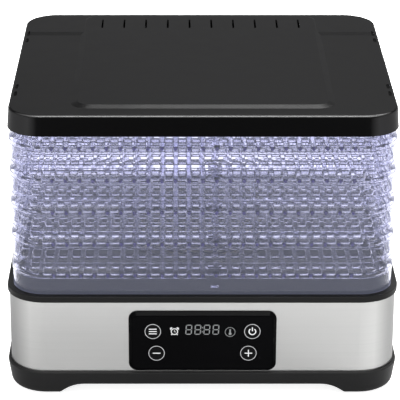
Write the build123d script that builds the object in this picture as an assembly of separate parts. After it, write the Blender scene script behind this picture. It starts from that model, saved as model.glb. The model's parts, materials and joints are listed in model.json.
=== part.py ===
from build123d import *
import math
import os

# Stacking food dehydrator: a heated base with a fan, five clear trays and a lid.
# Millimetres. +Z is up, the control panel faces -Y, the origin is under the middle of the feet.

# ---- Driving dimensions --------------------------------------------------------------------------

TRAY_COUNT = 5
TRAY_PITCH = 29.0  # height that each tray adds to the stack
TRAY_WIDTH = 330.0
TRAY_DEPTH = 296.0
TRAY_CORNER = 29.0

FLANGE_GROWTH = 6.5  # top of the housing's flange beyond the trays, each side
FLANGE_DRAFT = 3.4  # how much narrower the housing is at its feet, each side
RIM_GROWTH = 5.2  # black rim under the trays, beyond them
STEEL_GROWTH = 3.5
LID_GROWTH = 1.4
LID_DRAFT = 1.4  # how much narrower the lid is at its top, each side

FOOT_BOTTOM = 1.5  # underside of the moulded legs
HOUSING_BOTTOM = 11.8  # underside of the housing between its legs
FLOOR_TOP = 16.5
STEEL_BOTTOM = 23.5
STEEL_TOP = 89.3
RIM_TOP = 95.0
LID_BOTTOM = RIM_TOP + TRAY_COUNT * TRAY_PITCH
LID_SHOULDER = LID_BOTTOM + 18.0
LID_TOP = LID_SHOULDER + 1.6

WALL = 2.5  # housing wall
STEEL_THICKNESS = 0.7
LID_WALL = 1.8
TRAY_WALL_INSET = 1.9  # inner face of a tray wall
SKIRT_GROWTH = -0.2  # skirt that drops over the tray below
RIDGE_GROWTH = 0.5  # ridge round the wall at the height of the grid
RIDGE_START = 13.5  # where the skirt begins to swell
RIDGE_LOW = 16.5
RIDGE_HIGH = 20.5

LEDGE_OUTER = 0.9  # ledge on top of each tray, measured inwards from its side
INNER_SLOPE_LOW = 22.2  # where the inner face begins to lean in to the spigot
LEDGE_LOW = 24.8  # where the wall under the ledge reaches its full thickness
SPIGOT_OUTER = 2.2  # spigot that the next tray drops over
SPIGOT_INNER = 3.8
SPIGOT_HEIGHT = 3.0

GRID_TOP = 19.0  # top of the drying grid above its tray's lower edge
GRID_THICKNESS = 2.6
GRID_BAND = 4.6  # height of the band round the grid
GRID_PITCH_X = 11.62
GRID_PITCH_Y = 20.5
GRID_COLUMNS = 28
GRID_ROWS = 14
GRID_RIB_X = 3.2
GRID_RIB_Y = 3.0
GRID_BORDER = 3.0
SMALLEST_HOLE = 30.0  # corner cells with less open area than this stay closed

TAB_X = 10.2  # stacking tabs, to one side of the middle
TAB_WIDTH = 12.0
TAB_DEPTH = 5.0
TAB_RISE = 2.9
TAB_TOP_INSET = 1.3  # the tab's top clears the wall of the tray above
LEG_WIDTH = 6.8
LEG_BOTTOM = 6.0

WINDOW = ((-57.0, 57.0), (31.0, 75.0))  # X and Z of the opening behind the panel
PANEL_HALF_WIDTH = 64.0
PANEL_BOTTOM = 24.8
PANEL_TOP = 81.4
PANEL_CORNER = 7.5
PANEL_PROUD = 4.0
PANEL_BEVEL = 3.7
LENS_THICKNESS = 1.5
BUTTON_RADIUS = 7.4
BUTTON_GAP = 0.3
BUTTON_PROUD = 0.3
BUTTONS = {
    "button_set": (-43.0, 63.6),
    "button_minus": (-39.8, 42.9),
    "button_power": (43.0, 63.6),
    "button_plus": (39.8, 42.9),
}
DISPLAY_Z = 65.2

DUCT_RADIUS = 61.0  # air duct round the fan
IMPELLER_RADIUS = 57.0
SHAFT_RADIUS = 2.0
SHAFT_CLEARANCE = 0.05
MOTOR_RADIUS = 24.0

OVERLAP = 0.2  # how far joined shapes run into each other
FIT_GAP = 0.1  # between parts that fit snugly
SPIGOT_GAP = 0.3

# ---- Derived places ------------------------------------------------------------------------------

TRAY_HALF_DEPTH = TRAY_DEPTH / 2
STEEL_FACE = -(TRAY_HALF_DEPTH + STEEL_GROWTH)
PANEL_FACE = STEEL_FACE - PANEL_PROUD
PANEL_MIDDLE = (PANEL_BOTTOM + PANEL_TOP) / 2
PANEL_HEIGHT = PANEL_TOP - PANEL_BOTTOM
HOUSING_GROWTH = STEEL_GROWTH - STEEL_THICKNESS
CAVITY_GROWTH = HOUSING_GROWTH - WALL
DECK_POSTS = [(x, y) for x in (-85, 85) for y in (-128, 128)]
DECK_POSTS += [(x, y) for x in (-150, 150) for y in (-70, 70)]
COVER_SCREWS = [(x, y) for x in (-92, 92) for y in (-112, 112)]
MOTOR_POSTS = [(-45, 0), (45, 0)]
BOARD_POSTS = [(x, y) for x in (-150, -106) for y in (-44, 44)]
FEET = [(x, y) for x in (-139, 139) for y in (-121, 121)]


# ---- Helpers -------------------------------------------------------------------------------------


def save(node, shape):
    """Write one node, under its own name."""
    shape.label = node
    export_step(shape, f"parts/{node}.step")


def group(solids):
    """Several separate solids of one kind in one node."""
    return Compound(children=list(solids))


def outline(growth, z):
    """Plan outline of the stack at a height: positive growth goes outwards from the trays."""
    plan = RectangleRounded(TRAY_WIDTH + 2 * growth, TRAY_DEPTH + 2 * growth, TRAY_CORNER + growth)
    return Pos(0, 0, z) * plan


def stack_block(growth, low, high):
    """Upright block with the stack's outline."""
    return extrude(outline(growth, low), high - low)


def stack_taper(low_growth, high_growth, low, high):
    """Block whose outline changes evenly with height."""
    return loft([outline(low_growth, low), outline(high_growth, high)])


def slab(width, depth, corner, low, high, x=0.0, y=0.0):
    """Upright block with rounded corners."""
    return extrude(Pos(x, y, low) * RectangleRounded(width, depth, corner), high - low)


def block(low, high):
    """Plain block between two opposite corners."""
    size = [abs(b - a) for a, b in zip(low, high)]
    middle = [(a + b) / 2 for a, b in zip(low, high)]
    return Pos(*middle) * Box(*size)


def rod(radius, low, high, x=0.0, y=0.0):
    """Upright cylinder between two heights."""
    return Pos(x, y, (low + high) / 2) * Cylinder(radius, high - low)


def rod_y(radius, front, back, x, z):
    """Cylinder along Y between two depths."""
    return Pos(x, (front + back) / 2, z) * Rot(90, 0, 0) * Cylinder(radius, back - front)


def tube(outer, inner, low, high, x=0.0, y=0.0):
    """Upright tube."""
    return rod(outer, low, high, x, y) - rod(inner, low, high, x, y)


def front_slab(width, height, corner, front, back, z):
    """Rounded block lying on the front face, between two depths."""
    plan = Plane(origin=(0, front, z), x_dir=(1, 0, 0), z_dir=(0, -1, 0))
    return extrude(plan * RectangleRounded(width, height, corner), -(back - front))


def screw(x, y, head_low, head_high, tip, head_radius=3.0, shank_radius=1.4):
    """Pan-head screw: the shank runs from the head to the tip, up or down."""
    head = rod(head_radius, head_low, head_high, x, y)
    shank_low = min(head_low, tip)
    shank_high = max(head_high, tip)
    return head + rod(shank_radius, shank_low, shank_high, x, y)


# ---- Trays ---------------------------------------------------------------------------------------


def tray_tabs(side):
    """Stacking block that stands on the grid and the leg under it, on one long side."""
    root_y = side * (TRAY_HALF_DEPTH - TRAY_WALL_INSET + OVERLAP)
    free_y = root_y - side * TAB_DEPTH
    top_y = root_y - side * TAB_TOP_INSET
    x = -side * TAB_X
    half = TAB_WIDTH / 2
    leg_half = LEG_WIDTH / 2
    tab = block((x - half, free_y, GRID_TOP), (x + half, root_y, LEDGE_LOW))
    tab += block((x - half, free_y, LEDGE_LOW), (x + half, top_y, TRAY_PITCH + TAB_RISE))
    tab += block((x - leg_half, free_y, LEG_BOTTOM), (x + leg_half, root_y, GRID_TOP - GRID_BAND))
    return tab


def tray_wall():
    """Tray wall: skirt, ridge at the height of the grid, ledge and spigot."""
    outer = stack_block(SKIRT_GROWTH, 0, RIDGE_START)
    outer += stack_taper(SKIRT_GROWTH, RIDGE_GROWTH, RIDGE_START, RIDGE_LOW)
    outer += stack_block(RIDGE_GROWTH, RIDGE_LOW, RIDGE_HIGH)
    outer += stack_taper(RIDGE_GROWTH, -LEDGE_OUTER, RIDGE_HIGH, LEDGE_LOW)
    outer += stack_block(-LEDGE_OUTER, LEDGE_LOW, TRAY_PITCH)
    outer += stack_block(-SPIGOT_OUTER, TRAY_PITCH, TRAY_PITCH + SPIGOT_HEIGHT)
    inner = stack_block(-TRAY_WALL_INSET, 0, INNER_SLOPE_LOW)
    inner += stack_taper(-TRAY_WALL_INSET, -SPIGOT_INNER, INNER_SLOPE_LOW, LEDGE_LOW)
    inner += stack_block(-SPIGOT_INNER, LEDGE_LOW, TRAY_PITCH + SPIGOT_HEIGHT)
    return outer - inner + tray_tabs(-1) + tray_tabs(1)


def tray_grid():
    """Drying grid: a band round the edge with a lattice of ribs across it."""
    low = GRID_TOP - GRID_BAND
    floor = GRID_TOP - GRID_THICKNESS
    plate = stack_block(-TRAY_WALL_INSET, low, GRID_TOP)
    plate -= stack_block(-TRAY_WALL_INSET - GRID_BORDER, low, floor)
    cell = Rectangle(GRID_PITCH_X - GRID_RIB_X, GRID_PITCH_Y - GRID_RIB_Y)
    cells = GridLocations(GRID_PITCH_X, GRID_PITCH_Y, GRID_COLUMNS, GRID_ROWS) * cell
    edge = outline(-TRAY_WALL_INSET - GRID_BORDER, 0)
    holes = [hole for hole in (Sketch() + cells & edge).faces() if hole.area > SMALLEST_HOLE]
    cut = extrude(Pos(0, 0, floor) * (Sketch() + holes), GRID_THICKNESS)
    return plate - cut


def build_trays():
    wall = tray_wall()
    grid = tray_grid()
    for number in range(1, TRAY_COUNT + 1):
        place = Pos(0, 0, RIM_TOP + (number - 1) * TRAY_PITCH)
        save(f"tray_{number}_wall", place * wall)
        save(f"tray_{number}_grid", place * grid)


# ---- Lid -----------------------------------------------------------------------------------------

LID_ROUND = 2.2  # rounding of the lid's top edge
RAISED_WIDTH = 228.0  # raised panel on the lid
RAISED_DEPTH = 275.0
RAISED_Y = 6.5
RAISED_CORNER = 16.0
RAISED_SLOPE = 7.5  # plan width of its sloping sides
STEP_FRONT = 74.0  # rear part of the lid, which steps up
STEP_BACK = 88.0
STEP_RISE = 0.8
VENT_PITCH = 20.6
VENT_COUNT = 10
VENT_WIDTH = 1.8
VENT_LENGTH = 27.0
VENT_Y = 113.0
STRIP_DEPTH = 51.0  # sunken strip that holds the vents
STRIP_RECESS = 0.4
SNAP_X = 160.9
SNAP_Y = (-90.0, -70.5, 64.0, 84.5)
SNAP_LENGTH = 12.0
SNAP_WIDTH = 2.6
SNAP_GAP = 0.8  # between a snap tab and each end of its slot
SNAP_THICKNESS = 1.6
FRAME_INNER = 8.5  # inner edge of the ring under the lid, inwards from the trays
FRAME_PLATE = 4.0  # thickness of the ring above the top tray's spigot


def raised_panel():
    """Raised panel with sloping sides on the lid's shoulder."""
    low = RectangleRounded(RAISED_WIDTH, RAISED_DEPTH, RAISED_CORNER)
    top_size = (RAISED_WIDTH - 2 * RAISED_SLOPE, RAISED_DEPTH - 2 * RAISED_SLOPE)
    high = RectangleRounded(*top_size, RAISED_CORNER - 5)
    return loft([Pos(0, RAISED_Y, LID_SHOULDER - 0.5) * low, Pos(0, RAISED_Y, LID_TOP) * high])


def rear_step():
    """Full-width wedge that lifts the rear of the lid."""
    low = LID_SHOULDER - 0.5
    high = LID_SHOULDER + STEP_RISE
    profile = Polyline((STEP_FRONT, low), (STEP_BACK, high), (160, high), (160, low), close=True)
    wedge = extrude(Plane.YZ * make_face(profile), 200, both=True)
    return wedge & stack_block(LID_GROWTH - LID_DRAFT - 4, LID_SHOULDER - 1, LID_TOP)


def lid_cover():
    """Lid cover: drafted shell with a raised panel, a rear step, vents and snap slots."""
    top_growth = LID_GROWTH - LID_DRAFT
    body = stack_taper(LID_GROWTH, top_growth, LID_BOTTOM, LID_SHOULDER)
    body = fillet(body.faces().sort_by(Axis.Z)[-1].edges(), LID_ROUND)
    body += rear_step() + raised_panel()
    body -= stack_taper(
        LID_GROWTH - LID_WALL, top_growth - LID_WALL, LID_BOTTOM, LID_SHOULDER - LID_WALL
    )
    strip_low = (-RAISED_WIDTH / 2, VENT_Y - STRIP_DEPTH / 2, LID_TOP - STRIP_RECESS)
    body -= block(strip_low, (RAISED_WIDTH / 2, VENT_Y + STRIP_DEPTH / 2, LID_TOP))
    vent = slab(VENT_WIDTH, VENT_LENGTH, 0.47 * VENT_WIDTH, LID_SHOULDER - 4, LID_TOP)
    body -= Pos(0, VENT_Y, 0) * GridLocations(VENT_PITCH, 1, VENT_COUNT, 1) * vent
    slot = slab(SNAP_WIDTH, SNAP_LENGTH, 0.47 * SNAP_WIDTH, LID_SHOULDER - 4, LID_TOP)
    body -= [Pos(side * SNAP_X, y, 0) * slot for side in (-1, 1) for y in SNAP_Y]
    return body


def lid_inner_frame():
    """Ring under the lid that sits on the top tray, with tabs that snap into the lid."""
    low = LID_BOTTOM
    mid = LID_BOTTOM + SPIGOT_HEIGHT + 1
    high = mid + FRAME_PLATE
    skin_low = LID_GROWTH - LID_WALL - FIT_GAP
    skin_slope = LID_DRAFT / (LID_SHOULDER - LID_WALL - LID_BOTTOM)
    ring = stack_taper(skin_low, skin_low - skin_slope * (high - low), low, high)
    ring -= stack_block(-SPIGOT_OUTER + SPIGOT_GAP, low, mid)
    ring -= stack_block(-FRAME_INNER, low, high)
    half = (SNAP_THICKNESS / 2, SNAP_LENGTH / 2 - SNAP_GAP)
    tab = block((-half[0], -half[1], high), (half[0], half[1], LID_SHOULDER - 0.6))
    ring += [Pos(side * SNAP_X, y, 0) * tab for side in (-1, 1) for y in SNAP_Y]
    return ring


def build_lid():
    save("lid_cover", lid_cover())
    save("lid_inner_frame", lid_inner_frame())


# ---- Base shell ----------------------------------------------------------------------------------

INLET = (-118.0, 45.0)  # X and Z of the mains cord inlet in the rear wall
INLET_RADIUS = 8.0
INLET_FLANGE = 2.5
CORD_RADIUS = 3.6
ARCH_X = (125.5, 103.0)  # half span of the front arch between the legs: at the feet, at its top
ARCH_Y = (105.5, 84.0)
FLANGE_ROUND = 6.0  # rounding of the housing's lower edge
FOOT_RADIUS = 9.0
FOOT_RECESS = 4.5  # height of the feet's seats in the legs
COVER_SIZE = (196.0, 236.0)
COVER_CORNER = 12.0
COVER_THICKNESS = 2.5
COVER_GAP = 0.3
SERVICE_SIZE = (172.0, 212.0)  # opening in the floor that the cover closes
COVER_TOP = HOUSING_BOTTOM + COVER_THICKNESS
POST_FOOT_TOP = 17.5  # underside of the web that the deck screws pull on
POST_SPLIT = 40.0  # where the housing's posts meet the deck's posts
COVER_BOSS_TOP = 22.0
MOTOR_POST_TOP = 19.0
DECK_PLATE_LOW = RIM_TOP - 5.0
DECK_RECESS = 2.5  # how far the deck plate lies below its rim
DUCT_WALL = 2.5
DUCT_LOW = 54.0
LIP_HEIGHT = 4.0  # lip of the deck inside the housing wall
LIP_THICKNESS = 2.0
SLOT_STEPS = (-3, -2, -1, 1, 2, 3)  # air slots in the cover, counted from its middle
SLOT_PITCH = 9.0
SLOT_WIDTH = 4.5


def window():
    """Opening through the front wall for the control panel."""
    (left, right), (bottom, top) = WINDOW
    return block((left, STEEL_FACE - 1, bottom), (right, STEEL_FACE + 5, top))


def inlet_hole(radius=INLET_RADIUS):
    """Hole along Y through the rear wall for the mains cord."""
    return rod_y(radius, 140, 160, *INLET)


def leg_arch(plane, low_half, high_half):
    """Opening between two legs, cut right through along one axis."""
    right = TangentArc((high_half, HOUSING_BOTTOM), (low_half, FOOT_BOTTOM), tangent=(1, 0))
    left = TangentArc((-high_half, HOUSING_BOTTOM), (-low_half, FOOT_BOTTOM), tangent=(-1, 0))
    top = Line((-high_half, HOUSING_BOTTOM), (high_half, HOUSING_BOTTOM))
    below = Polyline((-low_half, FOOT_BOTTOM), (-low_half, 0), (low_half, 0), (low_half, FOOT_BOTTOM))
    face = make_face([left, top, right, below])
    return extrude(plane * face, 250, both=True)


def base_housing():
    """Lower shell: flange with four legs, floor, and the wall behind the steel band."""
    shell = stack_taper(FLANGE_GROWTH - FLANGE_DRAFT, FLANGE_GROWTH, FOOT_BOTTOM, STEEL_BOTTOM)
    shell = fillet(shell.edges().group_by(Axis.Z)[0], FLANGE_ROUND)
    shell = fillet(shell.edges().group_by(Axis.Z)[-1], 1)
    shell -= leg_arch(Plane.XZ, *ARCH_X)
    shell -= leg_arch(Plane.YZ, *ARCH_Y)
    shell += stack_block(HOUSING_GROWTH, STEEL_BOTTOM, STEEL_TOP)
    shell -= stack_block(CAVITY_GROWTH, FLOOR_TOP, STEEL_TOP)
    seat = [size + 2 * COVER_GAP for size in COVER_SIZE]
    shell -= slab(*seat, COVER_CORNER + COVER_GAP, HOUSING_BOTTOM, COVER_TOP)
    shell -= slab(*SERVICE_SIZE, COVER_CORNER / 2, HOUSING_BOTTOM, FLOOR_TOP)
    for x, y in DECK_POSTS:
        shell += rod(5, FLOOR_TOP, POST_SPLIT, x, y)
        shell -= rod(3.4, HOUSING_BOTTOM, POST_FOOT_TOP, x, y)
        shell -= rod(1.5, POST_FOOT_TOP, POST_SPLIT, x, y)
    for x, y in COVER_SCREWS:
        shell += rod(4, FLOOR_TOP, COVER_BOSS_TOP, x, y)
        shell -= rod(1.4, HOUSING_BOTTOM, COVER_BOSS_TOP - 2, x, y)
    for x, y in BOARD_POSTS:
        shell += rod(3, FLOOR_TOP, POWER_BOARD_LOW, x, y)
        shell -= rod(1.2, POWER_BOARD_LOW - 5, POWER_BOARD_LOW, x, y)
    for x, y in FEET:
        shell -= rod(FOOT_RADIUS, FOOT_BOTTOM, FOOT_RECESS, x, y)
    shell -= window()
    shell -= inlet_hole()
    return shell


def steel_band():
    """Brushed steel band with a panel window, the inlet hole and a seam at the back."""
    band = stack_block(STEEL_GROWTH, STEEL_BOTTOM, STEEL_TOP)
    band -= stack_block(HOUSING_GROWTH, STEEL_BOTTOM, STEEL_TOP)
    band -= window()
    band -= inlet_hole()
    half_seam = 0.2
    band -= block((-half_seam, 140, STEEL_BOTTOM), (half_seam, 160, STEEL_TOP))
    return band


def base_deck():
    """Top of the base: rim and spigot for the lowest tray, deck plate, fan duct and posts."""
    deck = stack_block(RIM_GROWTH, STEEL_TOP, RIM_TOP)
    deck = fillet(deck.edges().group_by(Axis.Z)[-1] + deck.edges().group_by(Axis.Z)[0], 0.8)
    deck += stack_block(-SPIGOT_OUTER, RIM_TOP, RIM_TOP + SPIGOT_HEIGHT)
    deck -= stack_block(-SPIGOT_INNER, RIM_TOP - DECK_RECESS, RIM_TOP + SPIGOT_HEIGHT)
    lip_growth = CAVITY_GROWTH - 2 * FIT_GAP
    deck -= stack_block(lip_growth, STEEL_TOP, DECK_PLATE_LOW)
    lip = stack_block(lip_growth, STEEL_TOP - LIP_HEIGHT, DECK_PLATE_LOW)
    deck += lip - stack_block(lip_growth - LIP_THICKNESS, STEEL_TOP - LIP_HEIGHT, DECK_PLATE_LOW)
    deck += rod(DUCT_RADIUS + DUCT_WALL, DUCT_LOW, DECK_PLATE_LOW)
    deck -= rod(DUCT_RADIUS, DUCT_LOW, RIM_TOP)
    for x, y in DECK_POSTS:
        deck += rod(4.5, POST_SPLIT, DECK_PLATE_LOW, x, y)
        deck -= rod(1.4, POST_SPLIT, POST_SPLIT + 14, x, y)
    return deck


def bottom_cover():
    """Screwed cover under the base with the air intake slots and the motor posts."""
    cover = slab(*COVER_SIZE, COVER_CORNER, HOUSING_BOTTOM, COVER_TOP)
    for step in SLOT_STEPS:
        x = step * SLOT_PITCH
        length = 1.65 * math.sqrt(IMPELLER_RADIUS**2 - x**2)
        cover -= slab(SLOT_WIDTH, length, 0.49 * SLOT_WIDTH, HOUSING_BOTTOM, COVER_TOP, x)
    for x, y in MOTOR_POSTS:
        cover += rod(5, COVER_TOP, MOTOR_POST_TOP, x, y)
        cover -= rod(1.5, COVER_TOP + 0.5, MOTOR_POST_TOP, x, y)
    for x, y in COVER_SCREWS:
        cover -= rod(1.6, HOUSING_BOTTOM, COVER_TOP, x, y)
    return cover


def build_base_shell():
    save("base_housing", base_housing())
    save("steel_band", steel_band())
    save("base_deck", base_deck())
    save("bottom_cover", bottom_cover())
    foot = rod(FOOT_RADIUS, 0, FOOT_RECESS)
    foot = fillet(foot.edges().group_by(Axis.Z)[0], 0.8)
    save("rubber_feet", group(Pos(x, y, 0) * foot for x, y in FEET))
    tip = COVER_BOSS_TOP - 2
    cover_screws = [screw(x, y, HOUSING_BOTTOM - 2, HOUSING_BOTTOM, tip) for x, y in COVER_SCREWS]
    save("cover_screws", group(cover_screws))
    head_low = POST_FOOT_TOP - 3
    deck_screws = [screw(x, y, head_low, POST_FOOT_TOP, POST_SPLIT + 12) for x, y in DECK_POSTS]
    save("deck_screws", group(deck_screws))
    bush_back = -PANEL_FACE + BUTTON_PROUD
    bush = rod_y(INLET_RADIUS + INLET_FLANGE, -STEEL_FACE, bush_back, *INLET)
    bush += rod_y(INLET_RADIUS, -STEEL_FACE - 5, -STEEL_FACE, *INLET)
    save("cord_inlet_bush", bush - inlet_hole(CORD_RADIUS))


# ---- Control panel -------------------------------------------------------------------------------

LENS_HALF_WIDTH = PANEL_HALF_WIDTH - PANEL_BEVEL
LENS_HEIGHT = PANEL_HEIGHT - 2 * PANEL_BEVEL
LENS_BACK = PANEL_FACE + LENS_THICKNESS
BOARD_FRONT = STEEL_FACE + 3.5
BOARD_THICKNESS = 1.6
BUTTON_TRAVEL_GAP = 0.55
SLEEVE_GAP = 0.2  # between the panel's sleeve and the window
SLEEVE_WALL = 1.8
SLEEVE_DEPTH = 8.0
LENS_CORNER = 4.0
DISPLAY_HEIGHT = 15.0
SWITCH_HEIGHT = 3.4
SWITCH_PLUNGER = 0.4
CABLE_LEFT = -108.0  # where the flat cable meets the power board
CABLE_Y = -112.0
CABLE_END_Y = -40.0
CABLE_LOW = 35.0
CABLE_WIDTH = 8.0


def panel_bezel():
    """Raised frame with bevelled edges, and the sleeve that passes through the steel band."""
    bezel = front_slab(
        2 * PANEL_HALF_WIDTH, PANEL_HEIGHT, PANEL_CORNER, PANEL_FACE, STEEL_FACE, PANEL_MIDDLE
    )
    front_edges = bezel.faces().sort_by(Axis.Y)[0].edges()
    bezel = chamfer(front_edges, PANEL_BEVEL - 0.3, PANEL_BEVEL - 0.9)
    seat = (2 * LENS_HALF_WIDTH + 3 * FIT_GAP, LENS_HEIGHT + 3 * FIT_GAP)
    bezel -= front_slab(*seat, LENS_CORNER, PANEL_FACE, LENS_BACK, PANEL_MIDDLE)
    (left, right), (bottom, top) = WINDOW
    middle = (bottom + top) / 2
    outer = (right - left - 2 * SLEEVE_GAP, top - bottom - 2 * SLEEVE_GAP)
    inner = [size - 2 * SLEEVE_WALL for size in outer]
    sleeve_back = STEEL_FACE + SLEEVE_DEPTH
    bezel += front_slab(*outer, 3, LENS_BACK, sleeve_back, middle)
    bezel -= front_slab(*inner, 2, LENS_BACK, sleeve_back, middle)
    return bezel


def panel_lens():
    """Glossy front plate with a hole for each button."""
    size = (2 * LENS_HALF_WIDTH, LENS_HEIGHT)
    lens = front_slab(*size, LENS_CORNER - FIT_GAP, PANEL_FACE, LENS_BACK, PANEL_MIDDLE)
    for x, z in BUTTONS.values():
        lens -= rod_y(BUTTON_RADIUS + BUTTON_GAP, PANEL_FACE, LENS_BACK, x, z)
    return lens


def push_button(x, z):
    """Round cap with a retaining flange behind the lens and a stem to its switch."""
    front = PANEL_FACE - BUTTON_PROUD
    cap = rod_y(BUTTON_RADIUS, front, LENS_BACK + 0.5, x, z)
    cap = fillet(cap.faces().sort_by(Axis.Y)[0].edges(), 0.3)
    cap += rod_y(BUTTON_RADIUS + 1.2, LENS_BACK + 0.3, LENS_BACK + 1, x, z)
    stem_end = BOARD_FRONT - SWITCH_HEIGHT - SWITCH_PLUNGER - BUTTON_TRAVEL_GAP
    return cap + rod_y(2, LENS_BACK + 1, stem_end, x, z)


def tact_switch(x, z):
    """Small switch on the control board, behind a button's stem."""
    front = BOARD_FRONT - SWITCH_HEIGHT
    body = block((x - 3, front, z - 3), (x + 3, BOARD_FRONT, z + 3))
    return body + rod_y(1.7, front - SWITCH_PLUNGER, front, x, z)


def ribbon_cable():
    """Flat cable from the control board to the power board, held upright on its edge."""
    start_y = BOARD_FRONT + BOARD_THICKNESS
    corners = [(-30, start_y), (-30, CABLE_Y), (CABLE_LEFT, CABLE_Y), (CABLE_LEFT, CABLE_END_Y)]
    route = FilletPolyline(*corners, radius=9)
    return extrude(Pos(0, 0, CABLE_LOW) * trace(route, 1.0), CABLE_WIDTH)


def build_panel():
    save("panel_bezel", panel_bezel())
    save("panel_lens", panel_lens())
    for name, (x, z) in BUTTONS.items():
        save(name, push_button(x, z))
    save("tact_switches", group(tact_switch(x, z) for x, z in BUTTONS.values()))
    half = DISPLAY_HEIGHT / 2
    display_face = block((-18, LENS_BACK, DISPLAY_Z - half), (18, BOARD_FRONT, DISPLAY_Z + half))
    save("display_module", display_face)
    board = front_slab(108, 39, 1, BOARD_FRONT, BOARD_FRONT + BOARD_THICKNESS, 53)
    save("control_board", board)
    save("ribbon_cable", ribbon_cable())


# ---- Power board ---------------------------------------------------------------------------------

POWER_BOARD_LOW = 22.0
POWER_BOARD_HIGH = 23.6


def build_power_board():
    board = block((-156, -50, POWER_BOARD_LOW), (-100, 50, POWER_BOARD_HIGH))
    for x, y in BOARD_POSTS:
        board -= rod(1.5, POWER_BOARD_LOW, POWER_BOARD_HIGH, x, y)
    board += block((-112, -40, POWER_BOARD_HIGH), (-104, -28, 44))
    board += rod(5, POWER_BOARD_HIGH, 42, -145, -25)
    save("power_board", board)
    core = block((-150, -10, POWER_BOARD_HIGH), (-118, 22, 50))
    coil = block((-146, -14, POWER_BOARD_HIGH + 5), (-122, 26, 46))
    save("transformer", core + coil)
    save("relay", block((-134, -38, POWER_BOARD_HIGH), (-118, -19, 39)))
    terminals = block((-142, 34, POWER_BOARD_HIGH), (-112, 48, 36))
    for x in (-137, -127, -117):
        terminals -= rod(2, 32, 36, x, 41)
    save("terminal_block", terminals)
    screws = [screw(x, y, POWER_BOARD_HIGH, 25.2, 17.5, 2.4, 1.2) for x, y in BOARD_POSTS]
    save("board_screws", group(screws))


# ---- Fan and motor -------------------------------------------------------------------------------

BLADE_COUNT = 7
HUB_RADIUS = 14.0
IMPELLER_LOW = 56.0
IMPELLER_HIGH = 69.0
CAN_LOW = 21.0
CAN_HIGH = 51.0
BEARING_RADIUS = 5.0


def impeller():
    """Axial fan wheel with pitched blades."""
    middle = (IMPELLER_LOW + IMPELLER_HIGH) / 2
    reach = IMPELLER_RADIUS - HUB_RADIUS + 8
    blade = Pos(HUB_RADIUS - 4 + reach / 2, 0, middle) * Rot(32, 0, 0) * Box(reach, 22, 2)
    ring = tube(IMPELLER_RADIUS, HUB_RADIUS - 3, IMPELLER_LOW, IMPELLER_HIGH)
    wheel = rod(HUB_RADIUS, IMPELLER_LOW, IMPELLER_HIGH)
    for number in range(BLADE_COUNT):
        wheel += Rot(0, 0, number * 360 / BLADE_COUNT) * (blade & ring)
    return wheel - rod(SHAFT_RADIUS, IMPELLER_LOW, IMPELLER_HIGH - 3)


def build_motor():
    save("fan_impeller", impeller())
    save("fan_shaft", rod(SHAFT_RADIUS, 20, IMPELLER_HIGH - 3))
    save("motor_rotor", tube(12, SHAFT_RADIUS, 27, 45))
    save("motor_winding", tube(21.6, 14, 27, 45))
    can = rod(MOTOR_RADIUS, CAN_LOW, CAN_HIGH - 2) - rod(22, CAN_LOW + 2, CAN_HIGH - 2)
    save("motor_can", can - rod(BEARING_RADIUS, CAN_LOW, CAN_LOW + 2))
    save("motor_end_cap", tube(MOTOR_RADIUS, BEARING_RADIUS, CAN_HIGH - 2, CAN_HIGH))
    bore = SHAFT_RADIUS + SHAFT_CLEARANCE
    lower = tube(BEARING_RADIUS, bore, CAN_LOW, CAN_LOW + 4)
    upper = tube(BEARING_RADIUS, bore, CAN_HIGH - 4, CAN_HIGH)
    save("motor_bearings", group([lower, upper]))
    bracket = slab(106, 30, 5, 19, CAN_LOW) - rod(10, 19, CAN_LOW)
    for x, y in MOTOR_POSTS:
        bracket -= rod(1.5, 19, CAN_LOW, x, y)
    save("motor_bracket", bracket)
    tip = COVER_TOP + 1
    screws = [screw(x, y, CAN_LOW, CAN_LOW + 2, tip, 3, 1.5) for x, y in MOTOR_POSTS]
    save("motor_screws", group(screws))


# ---- Heater, guard and sensor --------------------------------------------------------------------

COIL_RADII = (22.0, 36.0, 50.0)
COIL_Z = 79.0
COIL_WIRE = 1.8
CROSS_LOW = 72.0
CROSS_HIGH = 86.0
CROSS_THICKNESS = 1.6
GUARD_RADII = (20, 30, 40, 50)
CUTOFF_RADIUS = 2.0
SENSOR_X = 78.0


def heater_frame():
    """Ring with a cross of insulating plates that carry the coil."""
    outer = DUCT_RADIUS - FIT_GAP
    half = CROSS_THICKNESS / 2
    frame = tube(outer, outer - CROSS_THICKNESS, CROSS_LOW, CROSS_HIGH)
    for angle in (0, 90):
        frame += Rot(0, 0, angle) * block((1 - outer, -half, CROSS_LOW), (outer - 1, half, CROSS_HIGH))
    for radius in COIL_RADII:
        frame -= Pos(0, 0, COIL_Z) * Torus(radius, COIL_WIRE + 2 * FIT_GAP)
    return frame


def fan_guard():
    """Round grille over the fan: rings on eight spokes."""
    low = RIM_TOP - DECK_RECESS
    high = low + 2
    guard = tube(DUCT_RADIUS + 7, DUCT_RADIUS - 3, low, high)
    guard += rod(10, low, high)
    for radius in GUARD_RADII:
        guard += tube(radius + 1, radius - 1, low, high)
    spoke = block((8, -1.2, low), (DUCT_RADIUS - 1, 1.2, high))
    return guard + [Rot(0, 0, angle) * spoke for angle in range(0, 360, 45)]


def build_heater():
    save("heater_frame", heater_frame())
    coils = [Pos(0, 0, COIL_Z) * Torus(radius, COIL_WIRE) for radius in COIL_RADII]
    save("heating_coil", group(coils))
    save("fan_guard", fan_guard())
    cutoff = Cylinder(CUTOFF_RADIUS, 14)
    save("thermal_cutoff", Pos(30, 0, CROSS_HIGH + CUTOFF_RADIUS) * Rot(0, 90, 0) * cutoff)
    base_top = RIM_TOP - 1
    sensor = rod(3.5, RIM_TOP - DECK_RECESS, base_top, SENSOR_X, 0)
    save("temperature_sensor", sensor + rod(1.6, base_top, base_top + 2.5, SENSOR_X, 0))


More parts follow.
